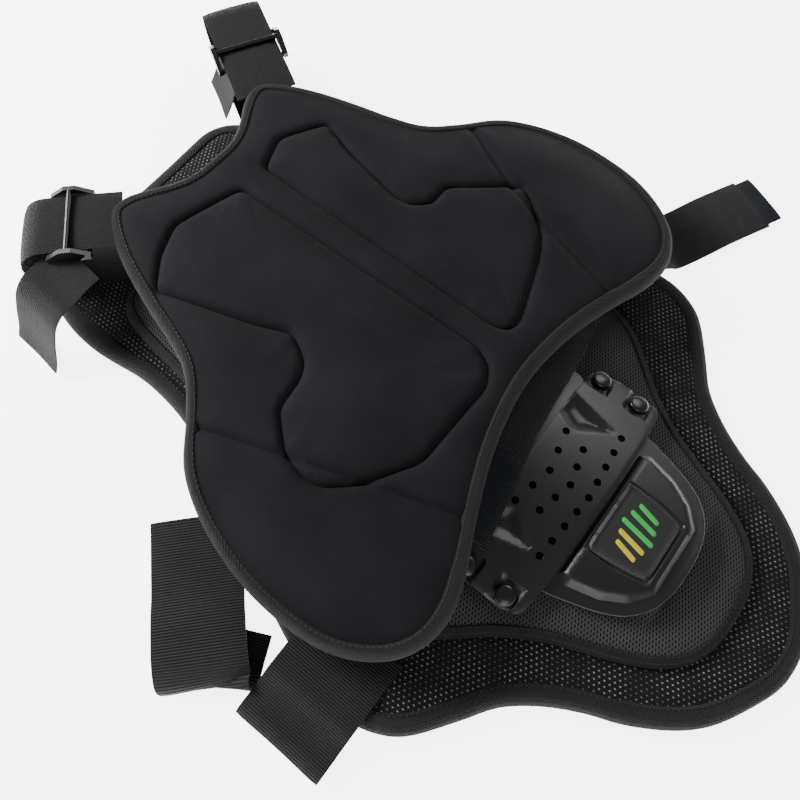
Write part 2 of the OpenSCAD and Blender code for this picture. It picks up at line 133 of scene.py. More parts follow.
class Surface:
    """A new material with its shader and the surface's layout in millimetres."""

    def __init__(self, name, colour, rough, by_object=False, **sockets):
        self.mat = bpy.data.materials.new(name)
        self.mat.use_nodes = True
        self.tree = self.mat.node_tree
        self.shader = self.tree.nodes["Principled BSDF"]
        self.shader.inputs["Base Color"].default_value = (*colour, 1)
        self.shader.inputs["Roughness"].default_value = rough
        for key, value in sockets.items():
            self.shader.inputs[key.replace("_", " ")].default_value = value
        coords = self.tree.nodes.new("ShaderNodeTexCoord")
        scale = self.tree.nodes.new("ShaderNodeVectorMath")
        scale.operation = "SCALE"
        scale.inputs["Scale"].default_value = 1000
        self.tree.links.new(coords.outputs["Object" if by_object else "UV"], scale.inputs[0])
        self.place = scale.outputs[0]
        split = self.tree.nodes.new("ShaderNodeSeparateXYZ")
        self.tree.links.new(self.place, split.inputs[0])
        self.u = Field(self.tree, split.outputs[0])
        self.v = Field(self.tree, split.outputs[1])

    def noise(self, size, detail=3.0, rough=0.55):
        """Cloudy field between 0 and 1 whose features are about size millimetres across."""
        node = self.tree.nodes.new("ShaderNodeTexNoise")
        node.inputs["Scale"].default_value = 1 / size
        node.inputs["Detail"].default_value = detail
        node.inputs["Roughness"].default_value = rough
        self.tree.links.new(self.place, node.inputs["Vector"])
        return Field(self.tree, node.outputs[0])

    def paint(self, field, low, high):
        """Colours the surface from low, where the field is 0, to high, where it is 1."""
        node = self.tree.nodes.new("ShaderNodeMix")
        node.data_type = "RGBA"
        node.inputs[6].default_value = (*low, 1)
        node.inputs[7].default_value = (*high, 1)
        self.tree.links.new(field.socket, node.inputs[0])
        self.tree.links.new(node.outputs[2], self.shader.inputs["Base Color"])

    def roughen(self, field):
        self.tree.links.new(field.socket, self.shader.inputs["Roughness"])

    def emboss(self, field, depth):
        """Bump that is depth metres high where the field is 1."""
        node = self.tree.nodes.new("ShaderNodeBump")
        node.inputs["Strength"].default_value = 1.0
        node.inputs["Distance"].default_value = depth
        self.tree.links.new(field.socket, node.inputs["Height"])
        self.tree.links.new(node.outputs[0], self.shader.inputs["Normal"])


def fabric(name, colour, rough=0.85, sheen=0.03, **more):
    return Surface(
        name, colour, rough, Sheen_Weight=sheen, Sheen_Roughness=0.45,
        Specular_IOR_Level=0.12, **more)


def lining_surface():
    s = fabric("lining_knit", (0.008, 0.008, 0.010))
    cloud = s.noise(60, 4)
    grain = s.noise(0.9, 2)
    knit = s.u.wave(0.9) * s.v.wave(0.8)
    s.paint(cloud.step(0.3, 0.7), (0.0050, 0.0053, 0.0064), (0.0088, 0.0092, 0.0108))
    s.emboss(knit * 0.6 + grain * 0.6 + s.noise(7, 3) * 1.2, 0.00018)
    return s.mat


def mesh_surface():
    s = fabric("spacer_mesh", (0.02, 0.02, 0.02), 0.8)
    column = s.u * (1 / 2.8)
    shift = (column.floor() * 0.5).fract()
    du = column.fract() - 0.5
    dv = (s.v * (1 / 3.6) + shift).fract() - 0.5
    away = (du * du + dv * dv * 0.9).math("SQRT")
    dot = (away * -1.0).step(-0.24, -0.12)
    rim = (away - 0.36).absolute().step(0.16, 0.0)
    glint = s.noise(14, 2).step(0.38, 0.62)
    s.paint(dot * (glint * 0.75 + 0.25), (0.009, 0.009, 0.010), (0.19, 0.195, 0.19))
    s.emboss(rim + dot * -0.8 + s.noise(0.6, 2) * 0.3, 0.0005)
    return s.mat


def knit_surface():
    s = fabric("overlay_knit", (0.02, 0.02, 0.02), 0.82)
    row = (s.v - s.u * 0.6) * (1 / 2.2)
    shift = (row.floor() * 0.5).fract()
    du = ((s.u + s.v * 0.6) * (1 / 3.4) + shift).fract() - 0.5
    dv = row.fract() - 0.5
    pit = (du * du * 0.9 + dv * dv * 1.5).math("SQRT").step(0.2, 0.42)
    s.paint(pit * (s.noise(40, 3) * 0.6 + 0.5), (0.005, 0.005, 0.0055), (0.060, 0.060, 0.059))
    s.emboss(pit + s.noise(0.5, 2) * 0.4, 0.0006)
    return s.mat


def twill_surface(name, light=0.030, pitch=1.9, band=7.0):
    """Tape woven in chevrons. u runs along the tape and v across it."""
    s = fabric(name, (light, light, light), 0.8)
    zigzag = ((s.v * (1 / band)).fract() - 0.5).absolute() * band * 1.4
    rib = (s.u + zigzag).wave(pitch)
    s.paint(rib * (s.noise(30, 3) * 0.7 + 0.5), (light * 0.4,) * 3, (light * 1.5,) * 3)
    s.emboss(rib + s.noise(0.5, 2) * 0.4, 0.00045)
    return s.mat


def elastic_surface(name, light=0.021, pitch=1.7, depth=0.0005):
    """Ribbed elastic. Ribs run across the strap; u runs along it."""
    s = fabric(name, (light, light, light), 0.75)
    rib = s.u.wave(pitch)
    thread = s.v.wave(0.9) * 0.35
    s.paint(rib * (s.noise(25, 3) * 0.7 + 0.55), (light * 0.35,) * 3, (light * 1.5,) * 3)
    s.emboss(rib + thread + s.noise(0.5, 2) * 0.2, depth)
    return s.mat


def webbing_surface():
    """Woven webbing. u runs along the strap and v across it."""
    s = fabric("webbing_weave", (0.01, 0.01, 0.01), 0.72)
    rib = s.v.wave(1.6)
    pick = (s.u + s.v * 0.5).wave(1.1)
    s.paint(rib * pick * (s.noise(20, 3) * 0.6 + 0.6), (0.0055, 0.0055, 0.006), (0.024, 0.024, 0.025))
    s.emboss(rib * 0.8 + pick * 0.6, 0.0004)
    return s.mat


def hook_surface():
    s = fabric("hook_tape", (0.01, 0.012, 0.016), 0.6)
    grid = s.u.wave(1.3) * s.v.wave(1.1)
    speck = s.noise(0.7, 3)
    s.paint(grid * speck * 1.6, (0.004, 0.005, 0.008), (0.034, 0.042, 0.058))
    s.emboss(grid * 0.8 + speck, 0.0008)
    return s.mat


def brushed_surface():
    s = fabric("brushed_loop", (0.012, 0.012, 0.0125), 0.9, 0.08)
    fuzz = s.noise(0.8, 4, 0.7)
    lie = s.noise(9, 4, 0.6)
    s.paint(lie * 0.7 + fuzz * 0.4, (0.006, 0.006, 0.0065), (0.022, 0.022, 0.0225))
    s.emboss(fuzz + lie, 0.0007)
    return s.mat


def plastic_surface(name, colour, rough, spread, grain=0.00006, by_object=True):
    s = Surface(name, colour, rough, by_object=by_object, Specular_IOR_Level=0.5)
    cloud = s.noise(35, 4)
    scuff = s.noise(4, 5, 0.7).step(0.62, 0.8)
    s.roughen(cloud * spread + scuff * 0.12 + (rough - spread / 2))
    bright = tuple(c * 1.9 for c in colour)
    s.paint(scuff * 0.6 + cloud * 0.3, colour, bright)
    s.emboss(s.noise(0.35, 2), grain)
    return s.mat


LINING = lining_surface()
MESH = mesh_surface()
KNIT = knit_surface()
BACK_TAPE = twill_surface("back_binding_twill", 0.021, 2.0, 9.0)
FRONT_TAPE = twill_surface("front_binding_twill", 0.019, 1.7, 40.0)
OVERLAY_TAPE = twill_surface("overlay_tape_twill", 0.018, 1.5, 30.0)
ELASTIC = elastic_surface("ribbed_elastic")
FRONT_ELASTIC = elastic_surface("ribbed_elastic_front", 0.021, 1.8)
WEBBING = webbing_surface()
HOOK = hook_surface()
BRUSHED = brushed_surface()
PLATE = plastic_surface("satin_polypropylene", (0.0035, 0.0035, 0.0037), 0.34, 0.12)
RIVET = plastic_surface("gloss_nylon", (0.0025, 0.0025, 0.0028), 0.26, 0.08, 0.00003)
BUCKLE = plastic_surface("gloss_acetal", (0.0022, 0.0022, 0.0024), 0.3, 0.1, 0.00003)
BADGE = plastic_surface("badge_rubber", (0.005, 0.005, 0.006), 0.5, 0.1, 0.00012)
THREAD = plastic_surface("sewing_thread", (0.005, 0.005, 0.0055), 0.6, 0.1, 0.00003)
MARK_GREEN = plastic_surface("mark_green", (0.015, 0.30, 0.04), 0.5, 0.08, 0.00004)
MARK_YELLOW = plastic_surface("mark_yellow", (0.42, 0.34, 0.008), 0.5, 0.08, 0.00004)


# -------- plan outlines


def walls(*nodes):
    """Plan-view segments of the upright walls of CAD nodes."""
    found = []
    for name in nodes:
        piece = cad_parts[name]
        turn = piece.matrix_world
        at = np.array([(turn @ v.co)[:2] for v in piece.data.vertices])
        for poly in piece.data.polygons:
            if abs(poly.normal.z) > 0.05:
                continue
            p = at[list(poly.vertices)]
            pairs = [(p[i], p[j]) for i in range(len(p)) for j in range(i)]
            a, b = max(pairs, key=lambda q: np.linalg.norm(q[0] - q[1]))
            if np.linalg.norm(a - b) > 1e-5:
                found.append((a, b))
    return np.array(found)


def outline(centre, nodes, nearest=False):
    """Closed outline of CAD nodes seen from above, as points on rays from a centre.

    It is the outermost wall on each ray, or the nearest one.
    """
    seg = walls(*nodes)
    a = seg[:, 0] - np.array(centre)
    e = seg[:, 1] - seg[:, 0]
    angle = np.arange(OUTLINE_RAYS) * 2 * math.pi / OUTLINE_RAYS
    d = np.stack([np.cos(angle), np.sin(angle)], 1)
    across = d[:, :1] * e[None, :, 1] - d[:, 1:] * e[None, :, 0]
    across = np.where(np.abs(across) < 1e-12, 1e-12, across)
    reach = (a[:, 0] * e[:, 1] - a[:, 1] * e[:, 0])[None] / across
    along = (a[None, :, 0] * d[:, 1:] - a[None, :, 1] * d[:, :1]) / across
    hit = (along > -1e-4) & (along < 1.0001) & (reach > 1e-4)
    if nearest:
        r = np.where(hit, reach, 1e9).min(1)
    else:
        r = np.where(hit, reach, -1.0).max(1)
    for _ in range(2):
        r = (np.roll(r, 1) + 2 * r + np.roll(r, -1)) / 4
    return np.array(centre) + d * r[:, None]


def shut(line):
    """The line with its first point repeated at the end."""
    return np.vstack([line, line[:1]])


def lengths(line):
    """Distance along a line to each of its points."""
    return np.concatenate([[0], np.cumsum(np.linalg.norm(np.diff(line, axis=0), axis=1))])


def spaced(loop, step, closed=True):
    """The same line with even spacing, and where each new point falls on the old one."""
    line = shut(loop) if closed else np.array(loop, float)
    length = lengths(line)
    count = max(int(round(length[-1] / step)), 3)
    want = np.linspace(0, length[-1], count + 1)
    if closed:
        want = want[:-1]
    at = np.interp(want, length, np.arange(len(line)))
    return sample(line, at), at


def sample(line, at):
    """Points of a line at fractional positions."""
    low = np.clip(np.floor(at).astype(int), 0, len(line) - 2)
    part = (at - low)[:, None]
    return line[low] * (1 - part) + line[low + 1] * part


def curve(points, step):
    """Smooth line through a few points, evenly spaced."""
    p = np.array(points, float)
    n = len(p)
    out = []
    cuts = 12
    for i in range(n - 1):
        a, b, c, d = p[max(i - 1, 0)], p[i], p[i + 1], p[min(i + 2, n - 1)]
        for t in np.arange(cuts) / cuts:
            out.append(0.5 * (2 * b + (c - a) * t + (2 * a - 5 * b + 4 * c - d) * t * t
                              + (3 * b - a - 3 * c + d) * t ** 3))
    out.append(p[-1])
    return spaced(np.array(out), step, False)[0]


def inside(points, loop):
    """Which plan points lie within a closed outline."""
    x, y = points[:, 0], points[:, 1]
    odd = np.zeros(len(points), bool)
    for a, b in zip(loop, np.roll(loop, -1, axis=0)):
        if a[1] == b[1]:
            continue
        cross = (a[1] > y) != (b[1] > y)
        odd ^= cross & (x < a[0] + (y - a[1]) * (b[0] - a[0]) / (b[1] - a[1]))
    return odd


def distance(points, line, closed=False):
    """Distance of each plan point from a line of many points."""
    line = shut(line) if closed else np.array(line)
    best = np.full(len(points), 1e9)
    for a, b in zip(line[:-1], line[1:]):
        e = b - a
        t = np.clip(((points - a) @ e) / max(e @ e, 1e-14), 0, 1)
        best = np.minimum(best, np.linalg.norm(points - a - t[:, None] * e, axis=1))
    return best


def fill(loop, step, lines=(), holes=()):
    """Triangles that fill a closed outline, with edges along the given lines and round the holes."""
    points = [tuple(p) for p in loop]
    count = len(points)
    edges = []
    for line in lines:
        first = len(points)
        points.extend(tuple(p) for p in line)
        edges.extend((first + i, first + i + 1) for i in range(len(line) - 1))
    for hole in holes:
        first = len(points)
        points.extend(tuple(p) for p in hole)
        edges.extend((first + i, first + (i + 1) % len(hole)) for i in range(len(hole)))
    low, high = loop.min(0), loop.max(0)
    row_share = 0.866
    clear_share = 0.62
    rows = np.arange(low[1], high[1], step * row_share)
    cols = np.arange(low[0], high[0], step)
    grid = np.array([(x + (i % 2) * step / 2, y) for i, y in enumerate(rows) for x in cols])
    grid = grid[inside(grid, loop)]
    tree = kdtree.KDTree(len(points))
    for i, p in enumerate(points):
        tree.insert((p[0], p[1], 0), i)
    tree.balance()
    grid = [g for g in grid if tree.find((g[0], g[1], 0))[2] > step * clear_share]
    points.extend(tuple(g) for g in grid)
    made = geometry.delaunay_2d_cdt(
        [Vector(p) for p in points], edges, [list(range(count))], 1, 1e-7)
    flat = np.array([tuple(v) for v in made[0]])
    faces = np.array([f for f in made[2] if len(f) == 3])
    middle = flat[faces].mean(1)
    for hole in holes:
        keep = ~inside(middle, np.array(hole))
        faces, middle = faces[keep], middle[keep]
    p = flat[faces]
    area = np.cross(p[:, 1] - p[:, 0], p[:, 2] - p[:, 0])
    faces = faces[np.abs(area) > 1e-12]
    area = area[np.abs(area) > 1e-12]
    faces[area < 0] = faces[area < 0][:, ::-1]
    used = np.unique(faces)
    order = np.full(len(flat), -1)
    order[used] = np.arange(len(used))
    return flat[used], order[faces]


# -------- mesh makers


def piece_from(name, verts, faces, uvs, materials, indices=None, crease=40):
    """A mesh object with smooth shading, its layout in metres, and materials."""
    mesh = bpy.data.meshes.new(name)
    mesh.from_pydata([tuple(v) for v in verts], [], [tuple(int(i) for i in f) for f in faces])
    layer = mesh.uv_layers.new(name="layout")
    flat = np.array([c for corner in uvs for c in corner], np.float32).ravel()
    layer.data.foreach_set("uv", flat)
    for material in materials:
        mesh.materials.append(material)
    if indices is not None:
        mesh.polygons.foreach_set("material_index", np.array(indices, np.int32))
    mesh.polygons.foreach_set("use_smooth", np.ones(len(mesh.polygons), bool))
    mesh.update()
    mesh.set_sharp_from_angle(angle=math.radians(crease))
    obj = bpy.data.objects.new(name, mesh)
    bpy.context.collection.objects.link(obj)
    return obj


def solid(name, flat, faces, top, low, materials, crease=50):
    """Closed body over a plan mesh between two heights at each point.

    The first material covers the top and the sides, and the last one the underside.
    """
    n = len(flat)
    verts = np.vstack([np.column_stack([flat, top]), np.column_stack([flat, low])])
    seen = {}
    for f in faces:
        for a, b in ((f[0], f[1]), (f[1], f[2]), (f[2], f[0])):
            seen[(a, b)] = True
    rim = [(a, b) for a, b in seen if (b, a) not in seen]
    sides = [(b, a, a + n, b + n) for a, b in rim]
    every = [tuple(f) for f in faces] + [tuple(f[::-1] + n) for f in faces] + sides
    both = np.vstack([flat, flat])
    uvs = [[both[i] for i in f] for f in every]
    for k, (a, b) in enumerate(rim):
        drop = float(top[a] - low[a])
        uvs[2 * len(faces) + k] = [flat[b], flat[a], flat[a] + (0, drop), flat[b] + (0, drop)]
    last = len(materials) - 1
    kinds = [0] * len(faces) + [last] * len(faces) + [0] * len(sides)
    return piece_from(name, verts, every, uvs, materials, kinds, crease)


def sweep(name, origin, side, up, section, material, closed=True, crease=60):
    """A closed section carried along stations. section is (stations, points, 2)."""
    k, m = section.shape[:2]
    verts = (origin[:, None] + section[:, :, :1] * side[:, None] + section[:, :, 1:] * up[:, None])
    length = lengths(shut(origin))
    around = lengths(shut(section[0]))
    faces, uvs = [], []
    for i in range(k if closed else k - 1):
        j = (i + 1) % k
        for a in range(m):
            b = (a + 1) % m
            faces.append((i * m + a, j * m + a, j * m + b, i * m + b))
            uvs.append([(length[i], around[a]), (length[i + 1], around[a]),
                        (length[i + 1], around[a + 1]), (length[i], around[a + 1])])
    if not closed:
        faces.append(tuple(range(m)))
        uvs.append([tuple(p) for p in section[0]])
        faces.append(tuple((k - 1) * m + a for a in range(m))[::-1])
        uvs.append([tuple(p) for p in section[-1]][::-1])
    return piece_from(name, verts.reshape(-1, 3), faces, uvs, [material], crease=crease)


def ribbon(name, path, way, width, thick, material, bow=0.0):
    """A flat strap along a path. way is its width direction, which is then squared to the path."""
    line = curve(path, 0.002)
    side = np.tile(np.array(way, float), (len(line), 1))
    ahead = np.gradient(line, axis=0)
    ahead /= np.linalg.norm(ahead, axis=1)[:, None]
    side -= (side * ahead).sum(1)[:, None] * ahead
    side /= np.linalg.norm(side, axis=1)[:, None]
    up = np.cross(side, ahead)
    across = np.linspace(-0.5, 0.5, 13)
    swell = thick / 2 * (1 - 0.55 * np.abs(2 * across) ** 8)
    arch = bow * (1 - (2 * across) ** 2)
    top = np.column_stack([across * width, swell + arch])
    low = np.column_stack([across[::-1] * width, (-swell + arch)[::-1]])
    sections = np.repeat(np.vstack([top, low])[None], len(line), 0)
    return sweep(name, line, side, up, sections, material, closed=False, crease=70)


def stitches(name, line):
    """A row of thread stitches, each a small six-sided bar, along a closed line."""
    spots = spaced(line, STITCH_PITCH)[0]
    u = np.array(UPRIGHT)
    ahead = np.roll(spots, -1, axis=0) - np.roll(spots, 1, axis=0)
    ahead /= np.linalg.norm(ahead, axis=1)[:, None]
    flat = STITCH_HALF * 0.5
    tip = 0.35
    rings = [(-STITCH_HALF, tip), (-flat, 1.0), (flat, 1.0), (STITCH_HALF, tip)]
    verts, faces = [], []
    for o, a in zip(spots, ahead):
        s = np.cross(u, a)
        first = len(verts)
        for x, k in rings:
            for w in range(6):
                c, d = math.cos(w * math.pi / 3), math.sin(w * math.pi / 3)
                verts.append(o + a * x + (s * c + u * d) * STITCH_R * k)
        for ring in range(3):
            for w in range(6):
                p, q = first + ring * 6 + w, first + ring * 6 + (w + 1) % 6
                faces.append((p, p + 6, q + 6, q))
        faces.append(tuple(first + w for w in range(6)))
        faces.append(tuple(first + 18 + w for w in range(6))[::-1])
    uvs = [[verts[i][:2] for i in f] for f in faces]
    return piece_from(name, verts, faces, uvs, [THREAD], crease=80)


def edging(name, spots, out, top, sections, material):
    """A tape round a panel's edge. Each section is a list of (outwards, up) points."""
    up = np.tile(UPRIGHT, (len(spots), 1))
    return sweep(name, plan3(spots, top), plan3(out), up, np.array(sections), material)


def inflate(piece, held, pressure, cap):
    """Blows a padded piece up with cloth physics, by cap at most. The held points stay."""
    count = len(piece.data.vertices)
    start = np.empty(count * 3)
    piece.data.vertices.foreach_get("co", start)
    start = start.reshape(-1, 3)
    group = piece.vertex_groups.new(name="held")
    group.add([int(i) for i in np.flatnonzero(held)], 1.0, "REPLACE")
    cloth = piece.modifiers.new("pressure", "CLOTH")
    cloth.settings.use_pressure = True
    cloth.settings.uniform_pressure_force = pressure
    cloth.settings.vertex_group_mass = "held"
    cloth.settings.tension_stiffness = 12
    cloth.settings.compression_stiffness = 12
    cloth.settings.bending_stiffness = 0.4
    cloth.settings.effector_weights.gravity = 0
    cloth.point_cache.frame_start = 1
    cloth.point_cache.frame_end = CLOTH_FRAMES
    scene = bpy.context.scene
    for number in range(1, CLOTH_FRAMES + 1):
        scene.frame_set(number)
    shown = piece.evaluated_get(bpy.context.evaluated_depsgraph_get())
    blown = np.empty(count * 3)
    shown.data.vertices.foreach_get("co", blown)
    moved = blown.reshape(-1, 3) - start
    far = np.linalg.norm(moved, axis=1)
    moved *= (cap * np.tanh(far / cap) / np.maximum(far, 1e-9))[:, None]
    piece.modifiers.remove(cloth)
    piece.vertex_groups.clear()
    piece.data.vertices.foreach_set("co", (start + moved).ravel())
    piece.data.update()
    scene.frame_set(1)


def follow(piece, slot, nodes, body=None, between=None, start=None, end=None):
    """Hides the CAD nodes a piece stands for and hangs it on its body, or bakes its place in if between
    is given. slot is not used.
    """
    if between:
        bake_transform(piece)
    else:
        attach(piece, body)
    if nodes:
        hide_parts(*nodes)


BEND_HALF = 0.008
TAIL_BEND = dict(between=("back", "tail"), start=(0, BEND_Y + BEND_HALF, 0.02),
                 end=(0, BEND_Y - BEND_HALF, 0.02))


# -------- folded front panel


def front_xy(points):
    """Plan points of the front panel's own layout, placed as it lies folded."""
    p = np.array(points, float)
    x, y = p[:, 0], p[:, 1]
    y = y + FRONT_SKEW * x * np.clip((0.150 - y) / 0.170, 0, 1)
    c, s = math.cos(FRONT_TURN), math.sin(FRONT_TURN)
    dy = y - FRONT_AT[1]
    return np.column_stack([FRONT_AT[0] + x * c - dy * s, FRONT_AT[1] + x * s + dy * c])


def front_z(points, top=FRONT_TOP):
    """Height of the arched front panel at plan points."""
    p = np.array(points, float)
    c, s = math.cos(FRONT_TURN), math.sin(FRONT_TURN)
    x = (p[:, 0] - FRONT_AT[0]) * c + (p[:, 1] - FRONT_AT[1]) * s
    r = FRONT_R - (FRONT_TOP - top)
    return top - r + np.sqrt(r * r - x * x)


FRONT_CENTRE = (0.032, 0.055)
front_outer = outline(FRONT_CENTRE, ["front_binding"])
front_inner = outline(FRONT_CENTRE, ["front_binding"], nearest=True)

LEFT_BLOCK = [(-6, 170), (-55, 185), (-77, 176), (-97, 161), (-75, 96), (-64, 72), (-73, 55), (-83, 50),
              (-106, 49), (-124, 30), (-128, 14), (-126, 2), (-112, -14), (-78, -38), (-17, -45),
              (-4, -38), (1, -26)]
RIGHT_BLOCK = [(17, 170), (43, 181), (76, 165), (67, 138), (57, 84), (58, 72), (69, 60), (87, 61),
               (124, 17), (116, 2), (95, -19), (79, -26), (33, -39), (24, -38), (19, -28)]
LEFT_SEAM = [(-146, 82), (-125, 28), (-110, -12), (-88, -76)]
RIGHT_SEAM = [(146, 82), (121, 28), (107, -12), (88, -76)]


def rounded(points, step=0.0015, passes=10):
    """Closed outline with even spacing and softened corners."""
    p = spaced(np.array(points, float), step)[0]
    for _ in range(passes):
        p = (np.roll(p, 1, axis=0) + 2 * p + np.roll(p, -1, axis=0)) / 4
    return p


def outward(loop):
    """Unit directions to the right of a closed line, which is outwards where it runs anticlockwise."""
    ahead = np.roll(loop, -1, axis=0) - np.roll(loop, 1, axis=0)
    ahead /= np.linalg.norm(ahead, axis=1)[:, None]
    return np.column_stack([ahead[:, 1], -ahead[:, 0]])


def beside(loop, far):
    """A closed line moved sideways, with its first point repeated at the end."""
    return shut(loop + far * outward(loop))


def make_front():
    """The front panel's padded body, with two quilted blocks and a seam beside each."""
    edge = front_inner + (front_outer - front_inner) * 0.45
    loop = spaced(edge, 0.0034)[0]
    lines = []
    blocks = []
    for corners, row in ((LEFT_BLOCK, LEFT_SEAM), (RIGHT_BLOCK, RIGHT_SEAM)):
        block = spaced(front_xy(rounded(np.array(corners) * MM)), 0.0025)[0]
        blocks.append(block)
        lines.append(shut(block))
        lines.append(curve(front_xy(np.array(row) * MM), 0.003))
    sides = [beside(b, far) for b in blocks for far in (-0.0014, 0.0014)]
    flat, faces = fill(loop, 0.0027, lines + sides)
    near_block = np.minimum(*[distance(flat, b, True) for b in blocks])
    within = inside(flat, blocks[0]) | inside(flat, blocks[1])
    near_seam = np.minimum(distance(flat, lines[1]), distance(flat, lines[3]))
    rim = distance(flat, loop, True)
    top = front_z(flat)
    puff = 0.0020 * (1 - np.exp(-near_block / 0.006)) * np.where(within, 1.4, 0.8)
    groove = 0.0030 * np.exp(-(near_block / 0.0015) ** 2)
    crease = 0.0030 * np.exp(-(near_seam / 0.0028) ** 2) - 0.0008 * np.exp(-(near_seam / 0.010) ** 2)
    edge_drop = 0.0040 * np.exp(-rim / 0.0055)
    top = top + puff - groove - crease - edge_drop
    low = front_z(flat, FRONT_TOP - 0.0154) + 0.0035 * np.exp(-rim / 0.006)
    piece = solid("front_padded_panel", flat, faces, top, low, [LINING, MESH])
    n = len(flat)
    held = np.ones(2 * n, bool)
    held[:n] = (near_block < 0.0012) | (near_seam < 0.0009) | (rim < 0.004)
    inflate(piece, held, 3.0, 0.0028)
    follow(piece, "lining", ["front_lining", "front_pad", "front_cover"], body="front")


def edge_frame(outer, inner):
    """Stations round a panel's edge: the outer point, the outward direction, and the width."""
    spots, at = spaced(outer, TAPE_STATION)
    away = spots - sample(shut(inner), at)
    out = outward(spots)
    width = np.clip((away * out).sum(1), 0.004, 0.03)
    return spots, out, width


def plan3(points, z=0.0):
    """Plan points at a height, or a direction in the plan."""
    return np.column_stack([points, np.broadcast_to(z, len(points))])


def make_front_binding():
    spots, out, width = edge_frame(front_outer, front_inner)
    top = front_z(spots, FRONT_TAPE_TOP)
    inner_top = front_z(spots - out * width[:, None], FRONT_TAPE_TOP)
    deep = 0.0152
    sections = []
    for w, slope in zip(width, inner_top - top):
        sections.append([
            (-w, slope - 0.0022), (-w + 0.0004, slope - 0.0008), (-w * 0.8, slope * 0.8 + 0.0002),
            (-w * 0.5, slope * 0.5 + 0.0004), (-w * 0.28, slope * 0.3 - 0.0006), (-w * 0.1, -0.0026),
            (-0.0001, -0.0054), (0.0, -0.0085), (-w * 0.06, -deep + 0.0028), (-w * 0.25, -deep + 0.0006),
            (-w * 0.55, -deep), (-w, -deep + 0.0006), (-w, -deep + 0.004)])
    piece = edging("front_edge_binding", spots, out, top, sections, FRONT_TAPE)
    follow(piece, "tape", ["front_binding"], body="front")
    row = spots - out * (width * 0.8)[:, None]
    height = front_z(row, FRONT_TAPE_TOP) + 0.0003
    seam = stitches("front_binding_stitches", plan3(row, height))
    follow(seam, "tape", [], body="front")


# -------- back panel


BACK_CENTRE = (0.0, 0.0)
OVERLAY_CENTRE = (0.0, -0.02)
# How far the neck edge is drawn past the CAD outline
NECK_RISE = 0.006
back_outer = outline(BACK_CENTRE, ["back_binding", "tail_binding"])
back_inner = outline(BACK_CENTRE, ["back_cover", "tail_cover"])
for edge_line in (back_outer, back_inner):
    rise = NECK_RISE * np.exp(-(edge_line[:, 0] / 0.055) ** 2)
    edge_line[:, 1] += np.where(edge_line[:, 1] > 0.2, rise, 0)
overlay_outer = outline(OVERLAY_CENTRE, ["overlay_tape", "tail_tape"])
overlay_inner = outline(OVERLAY_CENTRE, ["overlay_tape", "tail_tape"], nearest=True)


def make_back():
    """The back panel's mesh body, as one piece across the tail's bend."""
    edge = back_inner + (back_outer - back_inner) * 0.3
    loop = spaced(edge, 0.005)[0]
    tape = spaced(overlay_outer, 0.005)[0]
    flat, faces = fill(loop, 0.0048, [shut(tape)])
    rim = distance(flat, loop, True)
    seam = distance(flat, tape, True)
    under = inside(flat, tape)
    puff = np.where(under, 0, 0.0016 * (1 - np.exp(-seam / 0.012)))
    top = COVER_TOP + puff - 0.003 * np.exp(-rim / 0.007)
    low = 0.0001 + 0.0012 * np.exp(-rim / 0.006)
    piece = solid("back_padded_panel", flat, faces, top, low, [MESH, LINING])
    n = len(flat)
    held = np.ones(2 * n, bool)
    held[:n] = under | (rim < 0.005)
    inflate(piece, held, 2.5, 0.0018)
    nodes = ["back_lining", "back_pad", "back_cover", "tail_lining", "tail_pad", "tail_cover"]
    follow(piece, "mesh", nodes, **TAIL_BEND)


def make_back_binding():
    spots, out, width = edge_frame(back_outer, back_inner)
    sections = []
    for w in width:
        sections.append([
            (-w, -0.0030), (-w + 0.0006, -0.0008), (-w * 0.7, 0.0002), (-w * 0.4, -0.0004),
            (-w * 0.18, -0.0022), (-w * 0.04, -0.0050), (0.0, -0.0080), (-w * 0.04, -0.0112),
            (-w * 0.16, -0.0138), (-w * 0.4, -0.0150), (-w, -0.0151), (-w, -0.0125)])
    piece = edging("back_edge_binding", spots, out, BACK_TAPE_TOP, sections, BACK_TAPE)
    follow(piece, "ribbed_binding", ["back_binding", "tail_binding"], **TAIL_BEND)
    row = spots - out * (width * 0.84)[:, None]
    seam = stitches("back_binding_stitches", plan3(row, BACK_TAPE_TOP + 0.0001))
    follow(seam, "ribbed_binding", [], **TAIL_BEND)


def plate_arch(x, top, r=PLATE_R):
    """Height of an arch over the mirror line, whose crown is at top."""
    return top - r + np.sqrt(np.maximum(r * r - x * x, 1e-6))


def make_overlay():
    """The knit overlay, which rises under the hard plates."""
    edge = overlay_inner + (overlay_outer - overlay_inner) * 0.35
    loop = spaced(edge, 0.004)[0]
    flat, faces = fill(loop, 0.0042)
    rim = distance(flat, loop, True)
    crown = plate_arch(flat[:, 0], LOW_TOP - 0.0044)
    crown = np.where((flat[:, 1] < 0.19) & (flat[:, 1] > -0.20), crown, 0)
    base = OVERLAY_TOP - 0.0042 * np.exp(-rim / 0.008)
    part = np.clip(rim / 0.05, 0, 1)
    rise = part ** 2 * (3 - 2 * part)
    top = base + np.maximum(crown - base, 0) * rise
    low = np.full(len(flat), OVERLAY_BASE)
    piece = solid("overlay_padded_panel", flat, faces, top, low, [KNIT])
    n = len(flat)
    held = np.ones(2 * n, bool)
    held[:n] = (rim < 0.004) | (rim > 0.05)
    inflate(piece, held, 2.0, 0.0012)
    follow(piece, "overlay_knit", ["back_overlay", "tail_overlay"], **TAIL_BEND)


